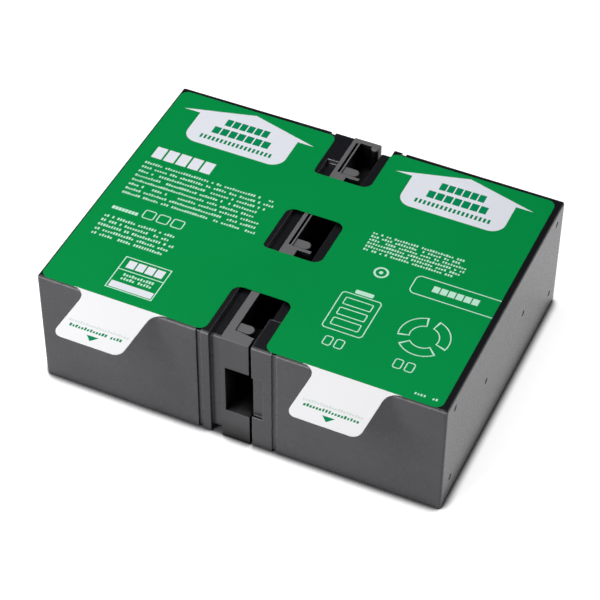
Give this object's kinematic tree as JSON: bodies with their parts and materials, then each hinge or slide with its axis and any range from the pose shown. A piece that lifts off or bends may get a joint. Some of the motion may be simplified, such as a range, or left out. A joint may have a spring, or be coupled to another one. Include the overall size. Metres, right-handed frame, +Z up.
{
  "type": "UPS battery cartridge",
  "caption": "Battery cartridge of sealed lead-acid blocks lid to lid round a moulded connector frame, under a green film label with white pull tabs.",
  "frame": {"origin": "centre of the flat underside, midway between the two outer end faces and midway between the front and back faces of the blocks", "axes": "+X from the left block to the right block, -Y towards the front with the pull tabs, +Y towards the contact sockets, +Z up"},
  "size_m": [0.203, 0.1805, 0.0653],
  "materials": {
    "case_plastic": "satin moulded",
    "lid_plastic": "smooth moulded",
    "frame_plastic": "fine spark texture",
    "housing_plastic": "moulded",
    "cap_rubber": "matt",
    "cast_lead": "cast",
    "blade_tin": "tinned",
    "contact_brass": "stamped",
    "positive_paste": "porous",
    "negative_paste": "porous",
    "glass_mat": "felted",
    "sealing_resin": "poured",
    "red_jacket": "satin",
    "black_jacket": "satin",
    "foam_tape": "foam",
    "label_film": "laminated film"
  },
  "bodies": {
    "root": {"connector_frame": "frame_plastic", "contact_housing": "housing_plastic", "lead_receptacles": "contact_brass", "left_cell_straps": "cast_lead", "left_container": "case_plastic", "left_lid": "lid_plastic", "left_negative_plates": "negative_paste", "left_negative_terminal": "blade_tin", "left_positive_plates": "positive_paste", "left_positive_terminal": "blade_tin", "left_separators": "glass_mat", "left_tape_strips": "foam_tape", "left_terminal_seals": "sealing_resin", "left_valve_caps": "cap_rubber", "left_vent_cover": "lid_plastic", "negative_contact": "contact_brass", "negative_lead": "black_jacket", "positive_contact": "contact_brass", "positive_lead": "red_jacket", "right_cell_straps": "cast_lead", "right_container": "case_plastic", "right_lid": "lid_plastic", "right_negative_plates": "negative_paste", "right_negative_terminal": "blade_tin", "right_positive_plates": "positive_paste", "right_positive_terminal": "blade_tin", "right_separators": "glass_mat", "right_tape_strip": "foam_tape", "right_terminal_seals": "sealing_resin", "right_valve_caps": "cap_rubber", "right_vent_cover": "lid_plastic", "series_link": "contact_brass", "top_label": "label_film"}
  },
  "joints": []
}
